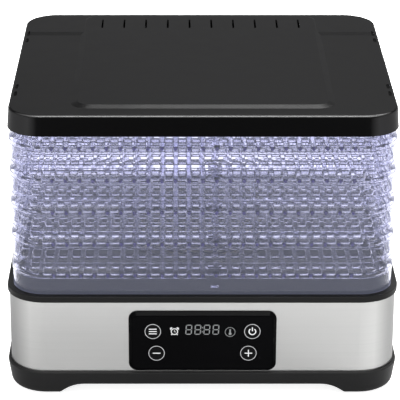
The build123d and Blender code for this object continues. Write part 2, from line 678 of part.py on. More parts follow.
def main():
    os.makedirs("parts", exist_ok=True)
    build_trays()
    build_lid()
    build_base_shell()
    build_panel()
    build_power_board()
    build_motor()
    build_heater()


main()
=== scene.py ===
import json
import math

import bmesh
import bpy
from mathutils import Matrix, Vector

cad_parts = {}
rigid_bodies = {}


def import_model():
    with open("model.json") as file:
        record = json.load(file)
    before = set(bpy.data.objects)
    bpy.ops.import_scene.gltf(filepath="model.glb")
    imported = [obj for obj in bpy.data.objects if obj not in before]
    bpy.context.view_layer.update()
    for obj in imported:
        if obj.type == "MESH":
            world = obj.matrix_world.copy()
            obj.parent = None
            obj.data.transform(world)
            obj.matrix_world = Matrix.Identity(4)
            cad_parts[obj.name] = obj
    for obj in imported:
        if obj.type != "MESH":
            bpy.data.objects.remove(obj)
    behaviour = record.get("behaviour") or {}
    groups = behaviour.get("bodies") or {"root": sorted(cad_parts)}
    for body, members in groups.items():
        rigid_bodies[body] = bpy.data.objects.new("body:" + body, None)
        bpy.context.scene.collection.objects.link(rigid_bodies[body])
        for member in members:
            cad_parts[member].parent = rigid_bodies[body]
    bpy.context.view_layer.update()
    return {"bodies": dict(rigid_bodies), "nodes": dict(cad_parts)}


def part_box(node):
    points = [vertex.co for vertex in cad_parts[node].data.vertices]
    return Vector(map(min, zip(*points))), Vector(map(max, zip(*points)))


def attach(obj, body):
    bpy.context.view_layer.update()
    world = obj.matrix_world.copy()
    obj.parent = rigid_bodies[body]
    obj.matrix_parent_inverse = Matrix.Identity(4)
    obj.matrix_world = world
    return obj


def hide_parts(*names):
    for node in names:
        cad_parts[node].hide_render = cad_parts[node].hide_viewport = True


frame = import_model()

# ---- Sizes, in millimetres -----------------------------------------------------------------------

MM = 0.001

# Outline of a tray.
TRAY_HALF_X = 165.0
TRAY_HALF_Y = 148.0
TRAY_CORNER = 29.0
TRAY_PITCH = 29.0
WALL_INSET = 1.9
SEAT_WIDTH = 2.2  # overlap of the grid's edge with the channel inside the wall

# Drying grid: heights above the tray's lower edge, and its cells.
CUTTER_HEIGHTS = (10, 25)  # reach of the block that trims the ribs to the tray's outline
GRID_TOP = 19.0
GRID_LOW = 16.4
GRID_BAND_LOW = 14.4
GRID_MIDDLE = (GRID_BAND_LOW + GRID_TOP) / 2
CELL_X = 11.62
CELL_Y = 20.5
RIB_X = 3.2
RIB_Y = 3.0
HOLE_X = CELL_X - RIB_X
HOLE_Y = CELL_Y - RIB_Y
HOLE_CORNER = 1.8
HOLE_BULGE = 0.3  # how far a hole's corner point lies from its sides, as a part of HOLE_CORNER
HOLE_BEVEL = 0.35
COLUMNS = 28
ROWS = 14

# Posts, and dark violet dots of painted shade, at the ribs' ends.
END_INSET = 3.0
POST_DEPTH = 4.2
POST_SHORTFALL = 0.06
SHADE_DOT_DEPTH = 1.6
SHADE_DOT_HEIGHT = 3.2

# Stacking block and leg in the middle of each long side.
BLOCK_X = 10.2
BLOCK_HALF = 6.0
LEG_HALF = 3.4
BLOCK_BEVEL = 0.5
# Distances inside the wall's outer face.
BLOCK_ROOT = 1.2
BLOCK_TOP_ROOT = 3.0
BLOCK_FREE = 6.7
# Heights above the tray's lower edge.
LEG_LOW = 6.0
LEG_TOP = GRID_BAND_LOW + 1
BLOCK_LOW = GRID_TOP - 1
BLOCK_STEP_LOW = 20.0
BLOCK_STEP_TOP = 23.0
BLOCK_TOP = TRAY_PITCH + 2.9

# Section of the tray wall: inset from the outer face, height above the tray's lower edge.
TRAY_SECTION = [
    (0.5, 0.06), (0.2, 0.4), (0.2, 12.9), (0.05, 14.5), (-0.25, 15.9), (-0.45, 17.3), (-0.48, 18.7),
    (-0.4, 20.1), (-0.1, 21.7), (0.4, 23.3), (0.8, 24.8), (0.9, 25.8), (0.9, 28.6), (1.15, 28.94),
    (2.2, 28.94), (2.2, 31.6), (2.5, 31.98), (3.5, 31.98), (3.8, 31.6), (3.8, 25.0), (3.2, 23.6),
    (1.95, 22.0), (1.9, 20.4), (1.9, 0.4), (1.6, 0.06),
]

# Section of the channel where the grid meets the wall, open inwards below its top plate.
CHANNEL_SECTION = [
    (1.0, GRID_BAND_LOW), (1.0, GRID_TOP + 0.02), (4.9, GRID_TOP + 0.02), (4.9, GRID_TOP - 1.1),
    (2.6, GRID_TOP - 1.1), (2.6, GRID_BAND_LOW + 0.9), (4.0, GRID_BAND_LOW + 0.9),
    (4.0, GRID_BAND_LOW),
]

# Prints on the keys and the panel.
INK_THICKNESS = 0.03
RING_RADIUS = 6.75
RING_WIDTH = 0.5
ARM = 3.3  # half the length of the plus and minus strokes
ARM_STROKE = 0.9
BAR = 3.4  # half the length of the three bars
BAR_PITCH = 2.2
BAR_STROKE = 0.8
POWER_RADIUS = 2.9
POWER_STROKE = 0.95
DIGIT_PLACES = (-11.9, -4.1, 3.7, 11.5)
DIGIT_HALF_WIDTH = 2.35
DIGIT_HALF_HEIGHT = 4.3
DIGIT_STROKE = 0.8
DIGIT_GAP = 0.25
DIGIT_SLANT = 0.07  # sideways lean for each millimetre up
COLON_X = -0.2
COLON_HEIGHT = 2.0
COLON_RADIUS = 0.5

# ---- Looks ---------------------------------------------------------------------------------------

CLEAR_IOR = 1.24  # lower than real plastic, so that the grid shows through many layers
CLEAR_DEPTH_COLOR = (0.42, 0.40, 0.72, 1)
CLEAR_DENSITY = 30.0
PAINTED_SHEEN_COLOR = (0.68, 0.73, 1.0)
PAINTED_SHEEN = 0.10  # strength of the painted sheen: pale light glowing from the outside of a tray
LID_GLOSS = 0.03
LID_EDGE_GLOSS = 0.9  # the lid's rounded front and rear edges are shinier than its faces
STEEL_TURN = 0.42  # how far sideways the steel faces where its painted shade starts
STEEL_PAINTED_SIDE_SHADE = 0.42  # painted shade of the steel where it faces sideways, as a part of its darkest tone
TRAY_SMOOTH = 35  # degrees
SHADE_DOT_SMOOTH = 60  # degrees
SURROUNDINGS_LOW = (0.44, 0.44, 0.445, 1)
SURROUNDINGS_STRENGTH = 1.3
FLOOR_GLOW = 0.8
FLOOR_HALF = 12.0  # metres
FLOOR_DROP = 0.0002  # metres
WHITE = (1, 1, 1, 1)

# ---- The frame -----------------------------------------------------------------------------------


def span(node):
    """Lowest and highest corner of a CAD node, in millimetres."""
    low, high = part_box(node)
    return [value / MM for value in low], [value / MM for value in high]


def middle(node):
    """Middle of a CAD node's box, in millimetres."""
    return [(low + high) / 2 for low, high in zip(*span(node))]


TRAY_NAMES = sorted(name for name in frame["bodies"] if name.startswith("tray_"))
BUTTON_SPOTS = {name: middle(f"button_{name}") for name in ("set", "minus", "power", "plus")}
PANEL_FACE = span("panel_lens")[0][1]
BUTTON_FACE = span("button_set")[0][1]
DISPLAY_LEVEL = middle("display_module")[2]

# ---- Material helpers ----------------------------------------------------------------------------


class Surface:
    """A node material with the few node patterns that the parts share."""

    def __init__(self, name):
        self.material = bpy.data.materials.new(name)
        self.material.use_nodes = True
        self.nodes = self.material.node_tree.nodes
        self.links = self.material.node_tree.links
        self.shader = self.nodes["Principled BSDF"]
        self.output = self.nodes["Material Output"]
        self.place = self.nodes.new("ShaderNodeTexCoord").outputs["Object"]

    def set(self, **values):
        for name, value in values.items():
            self.shader.inputs[name.replace("_", " ")].default_value = value
        return self

    def stretched(self, scale):
        mapping = self.nodes.new("ShaderNodeMapping")
        mapping.inputs["Scale"].default_value = scale
        self.links.new(self.place, mapping.inputs["Vector"])
        return mapping.outputs["Vector"]

    def noise(self, scale, detail=3.0, roughness=0.5, stretch=None):
        texture = self.nodes.new("ShaderNodeTexNoise")
        texture.inputs["Scale"].default_value = scale
        texture.inputs["Detail"].default_value = detail
        texture.inputs["Roughness"].default_value = roughness
        source = self.stretched(stretch) if stretch else self.place
        self.links.new(source, texture.inputs["Vector"])
        return texture.outputs["Fac"]

    def ramp(self, factor, low, high, start=0.3, end=0.7):
        ramp = self.nodes.new("ShaderNodeValToRGB")
        ramp.color_ramp.elements[0].position = start
        ramp.color_ramp.elements[1].position = end
        ramp.color_ramp.elements[0].color = (*low, 1)
        ramp.color_ramp.elements[1].color = (*high, 1)
        self.links.new(factor, ramp.inputs["Fac"])
        return ramp.outputs["Color"]

    def scaled(self, factor, low, high, start=0.0):
        node = self.nodes.new("ShaderNodeMapRange")
        node.inputs["From Min"].default_value = start
        node.inputs["To Min"].default_value = low
        node.inputs["To Max"].default_value = high
        self.links.new(factor, node.inputs["Value"])
        return node.outputs["Result"]

    def combined(self, operation, first, second=None):
        """Arithmetic on a socket, with a second socket or a plain number."""
        node = self.nodes.new("ShaderNodeMath")
        node.operation = operation
        self.links.new(first, node.inputs[0])
        if isinstance(second, (int, float)):
            node.inputs[1].default_value = second
        elif second:
            self.links.new(second, node.inputs[1])
        return node.outputs["Value"]

    def facing(self):
        """Size of each part of the surface's direction: along X, Y and Z."""
        split = self.nodes.new("ShaderNodeSeparateXYZ")
        self.links.new(self.place.node.outputs["Normal"], split.inputs["Vector"])
        return [self.combined("ABSOLUTE", split.outputs[axis]) for axis in "XYZ"]

    def sideways(self):
        """How far an upright surface faces left or right, from 0 to 1."""
        along_x, _, along_z = self.facing()
        return self.combined("SUBTRACT", along_x, along_z)

    def mixed(self, factor, first, second):
        """Fade a colour socket into a plain colour."""
        node = self.nodes.new("ShaderNodeMix")
        node.data_type = "RGBA"
        node.inputs[7].default_value = (*second, 1)
        self.links.new(factor, node.inputs[0])
        self.links.new(first, node.inputs[6])
        return node.outputs[2]

    def color(self, source):
        self.links.new(source, self.shader.inputs["Base Color"])
        return self

    def rough(self, source):
        self.links.new(source, self.shader.inputs["Roughness"])
        return self

    def bump(self, source, strength, distance=0.0002):
        node = self.nodes.new("ShaderNodeBump")
        node.inputs["Strength"].default_value = strength
        node.inputs["Distance"].default_value = distance
        self.links.new(source, node.inputs["Height"])
        self.links.new(node.outputs["Normal"], self.shader.inputs["Normal"])
        return self


def moulded(name, dark, light, rough_low, rough_high, level=0.5, grain=2200.0, bump=0.15):
    """Moulded plastic: fine grain, slightly uneven gloss, faint colour drift."""
    surface = Surface(name).set(Specular_IOR_Level=level)
    surface.color(surface.ramp(surface.noise(9.0, 4.0), dark, light))
    surface.rough(surface.scaled(surface.noise(60.0, 5.0), rough_low, rough_high))
    return surface.bump(surface.noise(grain, 2.0), bump, 0.00005).material


def brushed(name, dark, light, rough_low, rough_high, stretch=(1.5, 1.5, 3200)):
    """Brushed metal: fine lines round the band, and painted shade, greyer where it turns to the
    sides.
    """
    surface = Surface(name).set(Metallic=1.0, Anisotropic=0.6)
    tangent = surface.nodes.new("ShaderNodeTangent")
    tangent.direction_type = "RADIAL"
    tangent.axis = "Z"
    surface.links.new(tangent.outputs["Tangent"], surface.shader.inputs["Tangent"])
    fine = surface.noise(1.0, 2.0, 0.6, stretch)
    broad = surface.noise(1.0, 2.0, 0.5, tuple(value * 0.22 for value in stretch))
    tone = surface.ramp(fine, dark, light, 0.25, 0.75)
    # Painted shade: the steel's colour darkens where it faces sideways.
    shade = surface.scaled(surface.sideways(), 0.0, 1.0, start=STEEL_TURN)
    surface.color(surface.mixed(shade, tone, tuple(STEEL_PAINTED_SIDE_SHADE * value for value in dark)))
    surface.rough(surface.scaled(broad, rough_low, rough_high))
    return surface.bump(fine, 0.04, 0.00002).material


def lid_plastic():
    """Satin black of the lid: deepest on its front, with a painted reflection that makes it a little
    paler where it turns to the sides.
    """
    surface = Surface("lid_plastic")
    _, along_y, along_z = surface.facing()
    edge = surface.combined("MULTIPLY", along_y, along_z)
    gloss = surface.ramp(edge, (LID_GLOSS,) * 3, (LID_EDGE_GLOSS,) * 3, 0.3, 0.46)
    surface.links.new(gloss, surface.shader.inputs["Specular IOR Level"])
    front = (0.0005, 0.0005, 0.0006)
    sides = (0.019, 0.019, 0.0195)
    # Painted reflection: the colour turns paler where the lid faces sideways.
    surface.color(surface.ramp(surface.sideways(), front, sides, 0.04, 0.3))
    surface.rough(surface.scaled(surface.noise(60.0, 5.0), 0.26, 0.36))
    return surface.bump(surface.noise(2200.0, 2.0), 0.15, 0.00005).material


def metal(name, dark, light, rough_low, rough_high):
    """Plain metal with a faint mottle."""
    surface = Surface(name).set(Metallic=1.0)
    surface.color(surface.ramp(surface.noise(120.0, 4.0), dark, light))
    surface.rough(surface.scaled(surface.noise(260.0, 3.0), rough_low, rough_high))
    return surface.bump(surface.noise(900.0, 2.0), 0.08, 0.00004).material


def outer_skin(surface):
    """Mask for the painted sheen: 1 on the outer faces of a tray wall, and 0 on everything inside it.
    """
    # Distance from a rounded rectangle's core, which equals the corner radius on the outline.
    steps = (
        ("ABSOLUTE", (0, 0, 0)),
        ("SUBTRACT", ((TRAY_HALF_X - TRAY_CORNER) * MM, (TRAY_HALF_Y - TRAY_CORNER) * MM, 0)),
        ("MAXIMUM", (0, 0, 0)),
        ("MULTIPLY", (1, 1, 0)),
        ("LENGTH", (0, 0, 0)),
    )
    source = surface.place
    for operation, value in steps:
        node = surface.nodes.new("ShaderNodeVectorMath")
        node.operation = operation
        node.inputs[1].default_value = value
        surface.links.new(source, node.inputs[0])
        source = node.outputs[0]
    return surface.combined("GREATER_THAN", node.outputs["Value"], (TRAY_CORNER - 1.0) * MM)


def clear_plastic(name):
    """Tinted clear plastic: it darkens with depth, and its outside glows with a painted pale sheen.
    """
    surface = Surface(name)
    surface.set(Transmission_Weight=1.0, IOR=CLEAR_IOR, Specular_IOR_Level=0.5)
    surface.color(surface.ramp(surface.noise(6.0, 3.0), (0.915, 0.92, 0.985), (0.94, 0.945, 0.99)))
    surface.rough(surface.scaled(surface.noise(45.0, 3.0), 0.0, 0.008))
    volume = surface.nodes.new("ShaderNodeVolumeAbsorption")
    volume.inputs["Color"].default_value = CLEAR_DEPTH_COLOR
    volume.inputs["Density"].default_value = CLEAR_DENSITY
    surface.links.new(volume.outputs["Volume"], surface.output.inputs["Volume"])
    # Painted sheen: the outer faces glow pale blue, standing in for light they give back.
    surface.set(Emission_Color=(*PAINTED_SHEEN_COLOR, 1))
    painted_sheen = surface.scaled(outer_skin(surface), 0.0, PAINTED_SHEEN)
    surface.links.new(painted_sheen, surface.shader.inputs["Emission Strength"])
    return surface.material


def ink_material(name, tone, glow):
    """Pale print with a slightly uneven edge to edge tone and a faint painted glow."""
    surface = Surface(name).set(Roughness=0.5, Specular_IOR_Level=0.2)
    darker = tuple(value * 0.85 for value in tone)
    surface.color(surface.ramp(surface.noise(700.0, 3.0), darker, tone))
    # Painted glow: the print gives off light of its own tone.
    return surface.set(Emission_Color=(*tone, 1), Emission_Strength=glow).material


# ---- Mesh helpers --------------------------------------------------------------------------------


def linked(name, mesh):
    """An object in the scene with this mesh."""
    thing = bpy.data.objects.new(name, mesh)
    bpy.context.collection.objects.link(thing)
    return thing


def mesh_object(name, vertices, faces, material, smooth_angle=30):
    """A mesh object from points in metres, shaded smooth up to an angle."""
    mesh = bpy.data.meshes.new(name)
    mesh.from_pydata(vertices, [], faces)
    mesh.materials.append(material)
    smooth(mesh, smooth_angle)
    return linked(name, mesh)


def smooth(mesh, angle):
    """Smooth shading, with sharp edges above an angle in degrees."""
    mesh.polygons.foreach_set("use_smooth", [True] * len(mesh.polygons))
    mesh.set_sharp_from_angle(angle=math.radians(angle))
    mesh.update()


def rounded_path(half_x, half_y, radius, steps):
    """Points round a rounded rectangle, counterclockwise, with the same count for any size."""
    points = []
    centres = ((1, 1, 0), (-1, 1, 90), (-1, -1, 180), (1, -1, 270))
    for sign_x, sign_y, start in centres:
        cx = sign_x * (half_x - radius)
        cy = sign_y * (half_y - radius)
        for step in range(steps + 1):
            angle = math.radians(start + 90 * step / steps)
            points.append((cx + radius * math.cos(angle), cy + radius * math.sin(angle)))
    return points


def ring_sweep(profile, half_x, half_y, radius, steps=10):
    """Sweep a closed section of (inset, height) points round a rounded rectangle."""
    rings = []
    for inset, height in profile:
        path = rounded_path(half_x - inset, half_y - inset, radius - inset, steps)
        rings.append([(x * MM, y * MM, height * MM) for x, y in path])
    count = len(rings[0])
    vertices = [point for ring in rings for point in ring]
    faces = []
    for row in range(len(rings)):
        here = row * count
        above = (row + 1) % len(rings) * count
        for column in range(count):
            beside = (column + 1) % count
            faces.append((here + column, here + beside, above + beside, above + column))
    return vertices, faces


def object_from(build, name):
    """An object in the scene from a finished bmesh."""
    mesh = bpy.data.meshes.new(name)
    build.to_mesh(mesh)
    build.free()
    return linked(name, mesh)


def boolean(target, other, operation):
    """Join or cut two closed meshes, and drop the second one."""
    modifier = target.modifiers.new("cut", "BOOLEAN")
    modifier.operation = operation
    modifier.solver = "EXACT"
    modifier.object = other
    bpy.context.view_layer.update()
    graph = bpy.context.evaluated_depsgraph_get()
    mesh = bpy.data.meshes.new_from_object(target.evaluated_get(graph))
    target.modifiers.clear()
    target.data = mesh
    bpy.data.objects.remove(other)
    return target


# ---- Trays ---------------------------------------------------------------------------------------


def rib_end_places(inset, depth):
    """X, Y, width and depth of every rib's end, at some distance inside the wall's outer face."""
    places = []
    for side in (-1, 1):
        y = side * (TRAY_HALF_Y - inset)
        count = int((TRAY_HALF_X - TRAY_CORNER) / CELL_X)
        places += [(k * CELL_X, y, RIB_X, depth) for k in range(-count, count + 1)]
        x = side * (TRAY_HALF_X - inset)
        count = int((TRAY_HALF_Y - TRAY_CORNER) / CELL_Y)
        places += [(x, k * CELL_Y, depth, RIB_Y) for k in range(-count, count + 1)]
    return places


def put_at_end(vertices, place, height):
    """Move and stretch a unit shape to one rib's end."""
    x, y, width, depth = place
    for vertex in vertices:
        vertex.co.x = (x + vertex.co.x * width) * MM
        vertex.co.y = (y + vertex.co.y * depth) * MM
        vertex.co.z = (GRID_MIDDLE + vertex.co.z * height) * MM


def shade_dots_mesh(material):
    """Painted shade: dark violet dots at the ribs' ends, where each tinted rib looks dark along its
    length, as one mesh for a tray.
    """
    build = bmesh.new()
    for place in rib_end_places(END_INSET, SHADE_DOT_DEPTH):
        made = bmesh.ops.create_uvsphere(build, u_segments=12, v_segments=8, radius=0.5)["verts"]
        put_at_end(made, place, SHADE_DOT_HEIGHT)
    mesh = bpy.data.meshes.new("rib_end_shade_dots")
    build.to_mesh(mesh)
    build.free()
    mesh.materials.append(material)
    smooth(mesh, SHADE_DOT_SMOOTH)
    return mesh


def rib_ends():
    """Upright posts that carry each rib's end into the wall, as one mesh."""
    build = bmesh.new()
    height = GRID_TOP - GRID_BAND_LOW - POST_SHORTFALL
    for place in rib_end_places(END_INSET, POST_DEPTH):
        put_at_end(bmesh.ops.create_cube(build, size=1)["verts"], place, height)
    return object_from(build, "rib_ends")


def lattice():
    """Ribs of the drying grid: one tile with a rounded hole, repeated and welded."""
    build = bmesh.new()
    half_x = CELL_X / 2
    half_y = CELL_Y / 2
    hx = HOLE_X / 2
    hy = HOLE_Y / 2
    c = HOLE_CORNER
    b = HOLE_CORNER * HOLE_BULGE
    hole = [
        (hx, -hy + c), (hx, hy - c), (hx - b, hy - b), (hx - c, hy), (-hx + c, hy), (-hx + b, hy - b),
        (-hx, hy - c), (-hx, -hy + c), (-hx + b, -hy + b), (-hx + c, -hy), (hx - c, -hy),
        (hx - b, -hy + b),
    ]
    rim = [
        (half_x, -hy + c), (half_x, hy - c), (half_x, half_y), (hx - c, half_y), (-hx + c, half_y),
        (-half_x, half_y), (-half_x, hy - c), (-half_x, -hy + c), (-half_x, -half_y),
        (-hx + c, -half_y), (hx - c, -half_y), (half_x, -half_y),
    ]
    inner = [(x * (1 - HOLE_BEVEL / hx), y * (1 - HOLE_BEVEL / hy)) for x, y in hole]
    count = len(hole)
    layers = (
        (rim, GRID_TOP), (hole, GRID_TOP), (inner, GRID_TOP - HOLE_BEVEL),
        (inner, GRID_LOW + HOLE_BEVEL), (hole, GRID_LOW), (rim, GRID_LOW),
    )
    for row in range(ROWS):
        for column in range(COLUMNS):
            cx = (column - (COLUMNS - 1) / 2) * CELL_X
            cy = (row - (ROWS - 1) / 2) * CELL_Y
            rings = [
                [build.verts.new(((cx + x) * MM, (cy + y) * MM, height * MM)) for x, y in loop]
                for loop, height in layers
            ]
            for upper, lower in zip(rings, rings[1:]):
                for i in range(count):
                    j = (i + 1) % count
                    build.faces.new((upper[i], upper[j], lower[j], lower[i]))
            # Points of the rim on each side of a tile that can lie on the outside of the grid.
            edges = ((column == COLUMNS - 1, (11, 0, 1, 2)), (row == ROWS - 1, (2, 3, 4, 5)))
            edges += ((column == 0, (5, 6, 7, 8)), (row == 0, (8, 9, 10, 11)))
            for outside, side in edges:
                if outside:
                    for i, j in zip(side, side[1:]):
                        build.faces.new((rings[-1][i], rings[-1][j], rings[0][j], rings[0][i]))
    bmesh.ops.remove_doubles(build, verts=build.verts, dist=0.00001)
    bmesh.ops.recalc_face_normals(build, faces=build.faces)
    return object_from(build, "lattice")


def prism(name, half_x, half_y, radius, low, high, steps=10):
    """Closed upright block with rounded corners."""
    path = rounded_path(half_x, half_y, radius, steps)
    count = len(path)
    vertices = [(x * MM, y * MM, z * MM) for z in (low, high) for x, y in path]
    faces = [tuple(reversed(range(count))), tuple(range(count, 2 * count))]
    faces += [(i, (i + 1) % count, count + (i + 1) % count, count + i) for i in range(count)]
    mesh = bpy.data.meshes.new(name)
    mesh.from_pydata(vertices, [], faces)
    return linked(name, mesh)


def tray_block(low, high):
    """Closed block between two corners, with softened edges."""
    build = bmesh.new()
    bmesh.ops.create_cube(build, size=1)
    for vertex in build.verts:
        vertex.co = [MM * (a + (b - a) * (value + 0.5)) for a, b, value in zip(low, high, vertex.co)]
    bmesh.ops.bevel(build, geom=build.edges, offset=BLOCK_BEVEL * MM, segments=2, affect="EDGES")
    return object_from(build, "block")


def tray_mesh(material):
    """One tray as one clear moulding: wall, band, ribs, stacking blocks and legs."""
    inset = WALL_INSET + SEAT_WIDTH
    outline = (TRAY_HALF_X - inset, TRAY_HALF_Y - inset, TRAY_CORNER - inset)
    grid = boolean(lattice(), prism("edge", *outline, *CUTTER_HEIGHTS), "INTERSECT")
    vertices, faces = ring_sweep(CHANNEL_SECTION, TRAY_HALF_X, TRAY_HALF_Y, TRAY_CORNER)
    channel = mesh_object("channel", vertices, faces, material)
    grid = boolean(grid, channel, "UNION")
    grid = boolean(grid, rib_ends(), "UNION")
    vertices, faces = ring_sweep(TRAY_SECTION, TRAY_HALF_X, TRAY_HALF_Y, TRAY_CORNER)
    wall = mesh_object("wall", vertices, faces, material)
    grid = boolean(grid, wall, "UNION")
    for side in (-1, 1):
        x = -side * BLOCK_X
        x_low, x_high = x - BLOCK_HALF, x + BLOCK_HALF
        root = side * (TRAY_HALF_Y - BLOCK_ROOT)
        free = side * (TRAY_HALF_Y - BLOCK_FREE)
        top = side * (TRAY_HALF_Y - BLOCK_TOP_ROOT)
        y_low, y_high = sorted((free, root))
        t_low, t_high = sorted((free, top))
        parts = (
            ((x_low, y_low, BLOCK_LOW), (x_high, y_high, BLOCK_STEP_TOP)),
            ((x_low, t_low, BLOCK_STEP_LOW), (x_high, t_high, BLOCK_TOP)),
            ((x - LEG_HALF, y_low, LEG_LOW), (x + LEG_HALF, y_high, LEG_TOP)),
        )
        for low, high in parts:
            grid = boolean(grid, tray_block(low, high), "UNION")
    mesh = grid.data
    bpy.data.objects.remove(grid)
    mesh.materials.clear()
    mesh.materials.append(material)
    smooth(mesh, TRAY_SMOOTH)
    return mesh


def raised_copy(mesh, name, rise):
    """An object with a copy of a mesh, lifted by some millimetres."""
    copy = mesh.copy()
    copy.name = name
    for vertex in copy.vertices:
        vertex.co.z += rise * MM
    return linked(name, copy)


def build_trays():
    """The five trays: a detailed moulding in place of each CAD wall and grid, and its dark dots of
    painted shade at the ribs' ends.
    """
    clear = clear_plastic("tray_plastic")
    # Painted shade: near-black violet for the dots at the ribs' ends.
    violet = moulded("rib_end_shade_paint", (0.02, 0.014, 0.08), (0.045, 0.035, 0.14), 0.2, 0.3, 0.2)
    base = tray_mesh(clear)
    shade_dot_mesh = shade_dots_mesh(violet)
    for body in TRAY_NAMES:
        rise = span(f"{body}_wall")[0][2]
        thing = raised_copy(base, f"{body}_moulding", rise)
        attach(thing, body)
        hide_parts(f"{body}_wall", f"{body}_grid")
        shade_dots = raised_copy(shade_dot_mesh, f"{body}_rib_end_shade_dots", rise)
        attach(shade_dots, body)


# ---- Printed marks and display -------------------------------------------------------------------


def arc(x, z, radius, start, end, steps=24):
    """Points along an arc on the panel, with angles in degrees from +X."""
    turns = [math.radians(start + (end - start) * step / steps) for step in range(steps + 1)]
    return [(x + radius * math.cos(turn), z + radius * math.sin(turn)) for turn in turns]


class Ink:
    """Flat printed mark of strokes and filled shapes, lying just proud of a face."""

    def __init__(self, name, face, x, z):
        self.name = name
        self.face = face
        self.x = x
        self.z = z
        self.build = bmesh.new()

    def fill(self, outline):
        """Filled shape, points counterclockwise as seen from the front."""
        back = [self.point(x, z, 0) for x, z in outline]
        front = [self.point(x, z, INK_THICKNESS) for x, z in outline]
        self.build.faces.new(front)
        self.build.faces.new(list(reversed(back)))
        for i in range(len(outline)):
            j = (i + 1) % len(outline)
            self.build.faces.new((back[i], back[j], front[j], front[i]))

    def point(self, x, z, rise):
        place = ((self.x + x) * MM, (self.face - rise) * MM, (self.z + z) * MM)
        return self.build.verts.new(place)

    def stroke(self, points, width, closed=False):
        """Line of even width along the points."""
        count = len(points)
        left = []
        right = []
        for i in range(count):
            before = points[(i - 1) % count] if closed or i else points[0]
            after = points[(i + 1) % count] if closed or i < count - 1 else points[-1]
            along = Vector((after[0] - before[0], after[1] - before[1])).normalized()
            across = Vector((-along.y, along.x)) * width / 2
            left.append((points[i][0] + across.x, points[i][1] + across.y))
            right.append((points[i][0] - across.x, points[i][1] - across.y))
        for i in range(count if closed else count - 1):
            j = (i + 1) % count
            self.fill([right[i], right[j], left[j], left[i]])

    def ring(self, x, z, radius, width):
        self.stroke(arc(x, z, radius, 0, 360, 64)[:-1], width, closed=True)

    def disc(self, x, z, radius):
        self.fill(arc(x, z, radius, 0, 360)[:-1])

    def done(self, material, body):
        """Finish the mark as an object that rides on a body."""
        bmesh.ops.recalc_face_normals(self.build, faces=self.build.faces)
        thing = object_from(self.build, self.name)
        thing.data.materials.append(material)
        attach(thing, body)


def button_marks(material, ring_material):
    """A fine ring on each button with its symbol inside."""
    for name, (x, _, z) in BUTTON_SPOTS.items():
        ink = Ink(f"{name}_mark", BUTTON_FACE, x, z)
        if name == "set":
            for height in (-BAR_PITCH, 0, BAR_PITCH):
                ink.stroke([(-BAR, height), (BAR, height)], BAR_STROKE)
        elif name == "power":
            ink.stroke(arc(0, 0, POWER_RADIUS, 128, 412), POWER_STROKE)
            ink.stroke([(0, 0.4), (0, POWER_RADIUS + 1)], POWER_STROKE)
        else:
            ink.stroke([(-ARM, 0), (ARM, 0)], ARM_STROKE)
            if name == "plus":
                ink.stroke([(0, ARM_STROKE / 2), (0, ARM)], ARM_STROKE)
                ink.stroke([(0, -ARM_STROKE / 2), (0, -ARM)], ARM_STROKE)
        ink.done(material, f"key_{name}")
        ring = Ink(f"{name}_ring", BUTTON_FACE, x, z)
        ring.ring(0, 0, RING_RADIUS, RING_WIDTH)
        ring.done(ring_material, f"key_{name}")


def clock_mark(material):
    """Alarm clock symbol beside the display."""
    ink = Ink("clock_mark", PANEL_FACE, -24.3, DISPLAY_LEVEL - 1.5)
    ink.ring(0, -0.3, 2.75, 0.78)
    ink.stroke([(0, 1.1), (0, -0.35), (1.2, -0.8)], 0.5)
    for side in (-1, 1):
        start = 90 - side * 50 - 90
        ink.fill(arc(side * 2.5, 2.3, 1.4, start, start + 180, 12))
        ink.stroke([(side * 1.9, -2.4), (side * 2.7, -3.55)], 0.78)
    ink.done(material, "base")


def thermometer_mark(material):
    """Thermometer symbol in a ring beside the display."""
    ink = Ink("thermometer_mark", PANEL_FACE, 23.8, DISPLAY_LEVEL - 2.2)
    ink.ring(0, 0, 4.3, 0.45)
    ink.disc(0, -1.7, 1.25)
    ink.stroke([(0, -0.5), (0, 2.6)], 1.2)
    ink.done(material, "base")


def segment(x, z, half_length, upright):
    """Outline of one display segment, leaning like the digit."""
    tip = half_length - DIGIT_STROKE / 2
    half = DIGIT_STROKE / 2
    lower = [(-half_length, 0), (-tip, -half), (tip, -half)]
    shape = lower + [(-x, -z) for x, z in lower]
    if upright:
        shape = [(-b, a) for a, b in shape]
    return [(x + a + DIGIT_SLANT * (z + b), z + b) for a, b in shape]


def display_digits(material):
    """Four seven-segment digits and a colon."""
    ink = Ink("display_digits", PANEL_FACE, 0, DISPLAY_LEVEL)
    for x in DIGIT_PLACES:
        for row in (-1, 0, 1):
            ink.fill(segment(x, row * DIGIT_HALF_HEIGHT, DIGIT_HALF_WIDTH - DIGIT_GAP, False))
        for side in (-1, 1):
            for row in (-1, 1):
                place = (x + side * DIGIT_HALF_WIDTH, row * DIGIT_HALF_HEIGHT / 2)
                ink.fill(segment(*place, DIGIT_HALF_HEIGHT / 2 - DIGIT_GAP, True))
    for row in (-1, 1):
        height = row * COLON_HEIGHT
        ink.disc(COLON_X + DIGIT_SLANT * height, height, COLON_RADIUS)
    ink.done(material, "base")


def build_marks():
    """All the prints, in their three tones."""
    print_white = ink_material("printed_white", (0.56, 0.56, 0.57), 0.10)
    print_grey = ink_material("printed_grey", (0.40, 0.40, 0.41), 0.06)
    display_grey = ink_material("display_segments", (0.20, 0.205, 0.21), 0.045)
    button_marks(print_white, print_grey)
    clock_mark(print_white)
    thermometer_mark(display_grey)
    display_digits(display_grey)


# ---- Camera, lights and floor --------------------------------------------------------------------


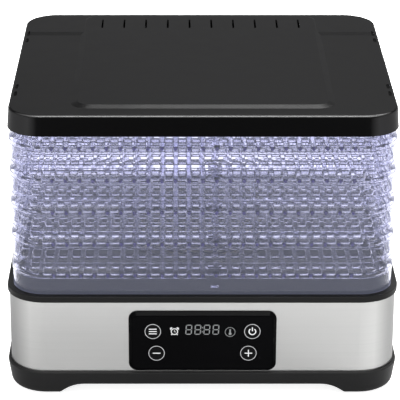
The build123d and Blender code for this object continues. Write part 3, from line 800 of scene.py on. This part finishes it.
def build_camera():
    """View square to the front, from a little left of the middle, looking down at 21.5 degrees."""
    data = bpy.data.cameras.new("camera")
    data.lens = 191.57
    data.shift_x = 0.0545
    data.sensor_width = 36.0
    data.clip_end = 50
    camera = bpy.data.objects.new("camera", data)
    bpy.context.collection.objects.link(camera)
    camera.location = (-0.02105, -1.82407, 0.84387)
    camera.rotation_euler = (math.radians(68.47), 0, 0)
    bpy.context.scene.camera = camera


def area_light(name, place, aim, size, power):
    """Soft box that the clear trays don't show through themselves."""
    data = bpy.data.lights.new(name, "AREA")
    data.shape = "RECTANGLE"
    data.size, data.size_y = size
    data.energy = power
    lamp = bpy.data.objects.new(name, data)
    bpy.context.collection.objects.link(lamp)
    lamp.location = place
    lamp.rotation_euler = (Vector(aim) - Vector(place)).to_track_quat("-Z", "Y").to_euler()
    lamp.visible_transmission = False


def build_floor():
    """Pale floor that looks white, yet throws less light up than white paint would."""
    surface = Surface("floor_paint").set(Roughness=0.9, Specular_IOR_Level=0.0)
    seen = surface.nodes.new("ShaderNodeLightPath").outputs["Is Camera Ray"]
    tone = surface.ramp(surface.noise(3.0), (0.58, 0.58, 0.585), (0.62, 0.62, 0.62))
    surface.color(surface.mixed(seen, tone, (0.9, 0.9, 0.9)))
    surface.set(Emission_Color=WHITE)
    glow = surface.combined("MULTIPLY", seen, FLOOR_GLOW)
    surface.links.new(glow, surface.shader.inputs["Emission Strength"])
    signs = ((-1, -1), (1, -1), (1, 1), (-1, 1))
    corners = [(x * FLOOR_HALF, y * FLOOR_HALF, 0) for x, y in signs]
    floor = mesh_object("floor", corners, [(0, 1, 2, 3)], surface.material)
    floor.location.z = -FLOOR_DROP


def build_lights():
    """Soft boxes: overhead strip, one high behind the lid, and one by each front corner."""
    boxes = (
        ("top_box", (0.05, -0.75, 1.75), (0, 0, 0.15), (1.5, 0.4), 24),
        ("rear_box", (0.38, 0.84, 1.53), (0, -0.13, 0.26), (1.2, 0.5), 42),
        ("side_box_1", (-0.75, -1.4, 0.24), (0, 0, 0.2), (1.3, 0.5), 6),
        ("side_box_3", (0.75, -1.4, 0.24), (0, 0, 0.2), (1.3, 0.5), 4.6),
    )
    for box in boxes:
        area_light(*box)


def build_surroundings():
    """Studio: brighter overhead, greyer low down and behind, plain white to the camera."""
    world = bpy.data.worlds.new("surroundings")
    bpy.context.scene.world = world
    world.use_nodes = True
    nodes = world.node_tree.nodes
    links = world.node_tree.links
    direction = nodes.new("ShaderNodeSeparateXYZ")
    links.new(nodes.new("ShaderNodeTexCoord").outputs["Generated"], direction.inputs["Vector"])
    height = nodes.new("ShaderNodeMath")
    height.operation = "MULTIPLY_ADD"
    height.inputs[1].default_value = -0.25
    links.new(direction.outputs["Y"], height.inputs[0])
    links.new(direction.outputs["Z"], height.inputs[2])
    ramp = nodes.new("ShaderNodeValToRGB")
    ramp.color_ramp.elements[0].position = 0.12
    ramp.color_ramp.elements[0].color = SURROUNDINGS_LOW
    ramp.color_ramp.elements[1].position = 0.8
    ramp.color_ramp.elements[1].color = WHITE
    links.new(height.outputs["Value"], ramp.inputs["Fac"])
    seen = nodes.new("ShaderNodeLightPath").outputs["Is Camera Ray"]
    mix = nodes.new("ShaderNodeMix")
    mix.data_type = "RGBA"
    mix.inputs[7].default_value = WHITE
    links.new(seen, mix.inputs[0])
    links.new(ramp.outputs["Color"], mix.inputs[6])
    links.new(mix.outputs[2], nodes["Background"].inputs["Color"])
    nodes["Background"].inputs["Strength"].default_value = SURROUNDINGS_STRENGTH


# ---- Materials of the CAD nodes ------------------------------------------------------------------


def dress(material, *nodes):
    """Give some CAD nodes a material."""
    for node in nodes:
        thing = frame["nodes"][node]
        thing.data.materials.clear()
        thing.data.materials.append(material)


def dress_shells():
    """Materials of the lid, the base's shells and the panel."""
    dress(lid_plastic(), "lid_cover")
    frame_plastic = moulded("frame_plastic", (0.0002,) * 3, (0.0004,) * 3, 0.6, 0.75, 0.02)
    dress(frame_plastic, "lid_inner_frame")
    dark = (0.0052, 0.0052, 0.0053)
    base = moulded("base_plastic", dark, (0.007, 0.007, 0.0071), 0.34, 0.46, 0.10)
    dress(base, "base_deck", "fan_guard", "bottom_cover")
    # Painted light: the housing gets a lighter copy of the base plastic, for the light its outer
    # shell catches.
    dark = (0.0085, 0.0085, 0.0086)
    lit_shell = moulded("housing_plastic_lit_copy", dark, (0.0108, 0.0108, 0.011), 0.34, 0.46, 0.10)
    dress(lit_shell, "base_housing")
    steel = brushed("steel_brushed", (0.445, 0.445, 0.44), (0.485, 0.485, 0.475), 0.27, 0.3)
    dress(steel, "steel_band")
    dark = (0.0008, 0.0008, 0.001)
    panel = moulded("panel_plastic", dark, (0.0014, 0.0014, 0.0016), 0.1, 0.16, 0.02)
    dress(panel, "panel_bezel")
    lens = moulded("lens_plastic", dark, (0.0012, 0.0012, 0.0015), 0.05, 0.09, 0.03, bump=0.02)
    dress(lens, "panel_lens")
    dark = (0.0012, 0.0012, 0.0014)
    keys = moulded("key_plastic", dark, (0.002, 0.002, 0.0022), 0.2, 0.3, 0.08)
    dress(keys, "button_set", "button_minus", "button_plus", "button_power")
    rubber = moulded("rubber", (0.02,) * 3, (0.03,) * 3, 0.7, 0.85, 0.3)
    dress(rubber, "rubber_feet", "cord_inlet_bush")


def dress_inside():
    """Materials of the pieces inside the base."""
    zinc = metal("zinc_plate", (0.5, 0.51, 0.52), (0.62, 0.63, 0.65), 0.25, 0.4)
    dress(zinc, "cover_screws", "deck_screws", "board_screws", "motor_screws", "motor_can")
    dress(zinc, "motor_end_cap", "motor_bracket", "fan_shaft", "thermal_cutoff", "temperature_sensor")
    board = moulded("board_mask", (0.01, 0.11, 0.04), (0.02, 0.16, 0.06), 0.3, 0.45, grain=700.0)
    dress(board, "control_board", "power_board")
    blue = moulded("relay_plastic", (0.02, 0.09, 0.30), (0.03, 0.12, 0.38), 0.3, 0.4)
    dress(blue, "relay", "terminal_block")
    dress(moulded("switch_plastic", (0.02,) * 3, (0.04,) * 3, 0.4, 0.5), "tact_switches")
    dress(moulded("display_plastic", (0.02,) * 3, (0.03,) * 3, 0.2, 0.3), "display_module")
    dress(moulded("ribbon_vinyl", (0.35, 0.35, 0.36), (0.48, 0.48, 0.5), 0.5, 0.6), "ribbon_cable")
    laminations = metal("lamination_steel", (0.10, 0.10, 0.11), (0.2, 0.2, 0.21), 0.4, 0.6)
    dress(laminations, "transformer", "motor_rotor")
    dress(metal("copper_wire", (0.6, 0.27, 0.12), (0.8, 0.42, 0.2), 0.25, 0.4), "motor_winding")
    dress(metal("bronze", (0.45, 0.3, 0.13), (0.6, 0.42, 0.2), 0.3, 0.45), "motor_bearings")
    dress(moulded("fan_plastic", (0.6, 0.6, 0.58), (0.7, 0.7, 0.68), 0.4, 0.5), "fan_impeller")
    mica = moulded("mica_sheet", (0.45, 0.38, 0.27), (0.62, 0.55, 0.42), 0.5, 0.7, grain=300.0)
    dress(mica, "heater_frame")
    dress(metal("heater_wire", (0.24, 0.2, 0.18), (0.42, 0.36, 0.32), 0.4, 0.55), "heating_coil")


def main():
    build_camera()
    build_floor()
    build_lights()
    build_surroundings()
    build_trays()
    build_marks()
    dress_shells()
    dress_inside()
    scene = bpy.context.scene
    scene.view_settings.view_transform = "Standard"
    scene.cycles.max_bounces = 32
    scene.cycles.transmission_bounces = 32
    scene.cycles.sample_clamp_indirect = 4.0


main()
